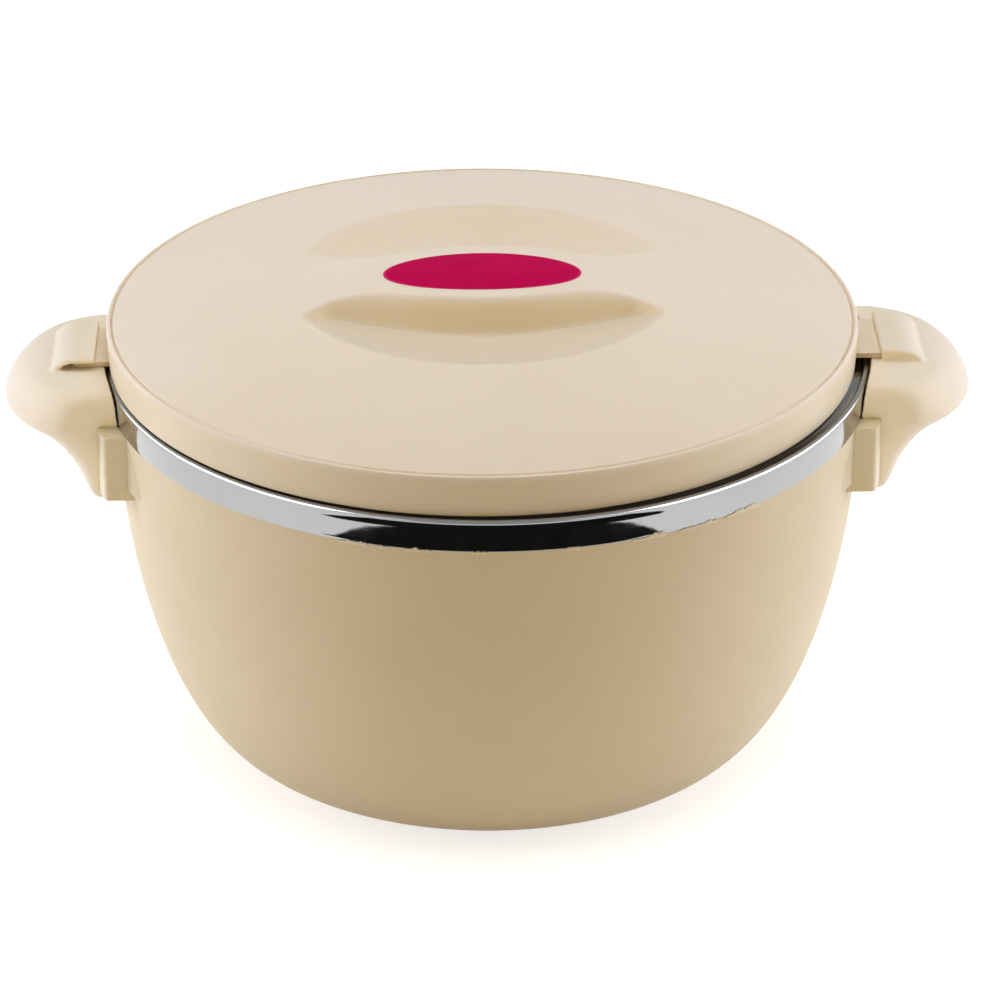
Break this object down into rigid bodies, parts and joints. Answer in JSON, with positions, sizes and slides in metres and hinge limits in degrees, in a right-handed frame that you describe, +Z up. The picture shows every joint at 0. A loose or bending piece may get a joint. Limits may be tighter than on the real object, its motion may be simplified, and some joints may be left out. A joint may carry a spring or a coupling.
{
  "type": "insulated food casserole",
  "caption": "Round insulated food casserole: cream plastic shell with steel bowl and rim band, side handles, and a domed twist-lock lid with finger dishes and an oval badge.",
  "frame": {"origin": "centre of the base, on the surface it stands on", "axes": "+Z up, +X through the right-hand handle, -Y towards the viewer in front"},
  "size_m": [0.324, 0.2556, 0.1638],
  "materials": {
    "cream_plastic": "satin",
    "steel": "polished",
    "foam": "matte",
    "badge_crimson": "gloss",
    "silicone": "satin"
  },
  "bodies": {
    "pot": {"outer_shell": "cream_plastic", "base_foam_plug": "cream_plastic", "body_insulation": "foam", "inner_bowl": "steel", "right_handle": "cream_plastic", "left_handle": "cream_plastic"},
    "seal": {"lid_seal": "silicone"},
    "lid": {"lid_cover": "cream_plastic", "lid_badge": "badge_crimson", "lid_inner_cover": "cream_plastic", "lid_foam_plug": "cream_plastic", "lid_insulation": "foam"}
  },
  "joints": [
    {"name": "lid_lift", "type": "slide", "parent": "pot", "child": "seal", "axis": [0, 0, 1], "range_m": [0, 0.18]},
    {"name": "lid_turn", "type": "hinge", "parent": "seal", "child": "lid", "pos_m": [-0.0018, 0, 0.14], "axis": [0, 0, 1], "range_deg": [0, 20]}
  ]
}
